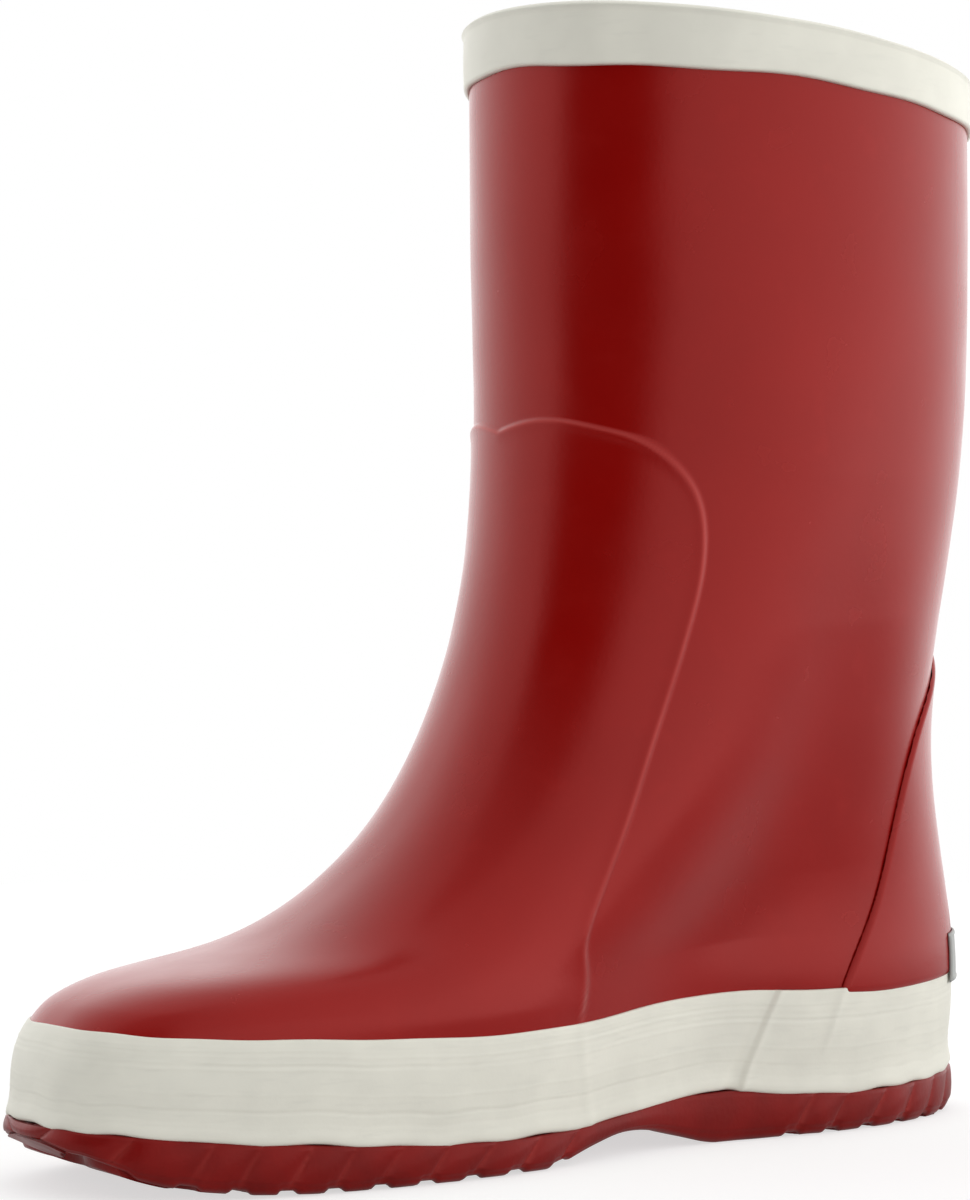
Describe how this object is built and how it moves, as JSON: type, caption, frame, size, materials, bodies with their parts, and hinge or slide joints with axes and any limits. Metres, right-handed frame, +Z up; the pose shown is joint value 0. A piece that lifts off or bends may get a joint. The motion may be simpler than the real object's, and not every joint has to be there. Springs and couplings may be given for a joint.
{
  "type": "rain boot",
  "caption": "Child's red natural-rubber rain boot, right foot, with an off-white band round the sole and rim, a lugged red outsole and a loose footbed.",
  "frame": {"origin": "on the ground, under the middle of the boot's bounding box", "axes": "+Z up; the toe points towards -Y; +X is the inner, big-toe side, which is the wearer's left"},
  "size_m": [0.0908, 0.2188, 0.227],
  "materials": {
    "red_rubber": "satin, with a faint matt bloom",
    "white_rubber": "matt off-white",
    "label_rubber": "matt pale grey, blank",
    "cotton_jersey": "knitted cotton",
    "cotton_tape": "woven cotton tape",
    "cotton_cover": "woven cotton",
    "rubberised_canvas": "canvas rubbed with rubber",
    "fibreboard": "pressed fibre",
    "sponge_rubber": "open sponge",
    "white_foam": "closed-cell foam"
  },
  "bodies": {
    "boot": {"outsole": "red_rubber", "heel_wedge": "sponge_rubber", "midsole_sponge": "sponge_rubber", "insole_board": "fibreboard", "upper": "red_rubber", "vamp_reinforcement": "rubberised_canvas", "toe_puff": "rubberised_canvas", "heel_stiffener": "rubberised_canvas", "heel_counter": "red_rubber", "foxing_band": "white_rubber", "rim_binding": "white_rubber", "heel_label": "label_rubber", "lining_sock": "cotton_jersey", "lining_back_tape": "cotton_tape"},
    "footbed": {"footbed_foam": "white_foam", "footbed_cover": "cotton_cover"}
  },
  "joints": [
    {"name": "footbed_lift", "type": "hinge", "parent": "boot", "child": "footbed", "pos_m": [0, -0.09991, 0.01737], "axis": [1, 0, 0], "range_deg": [0, 10]}
  ]
}
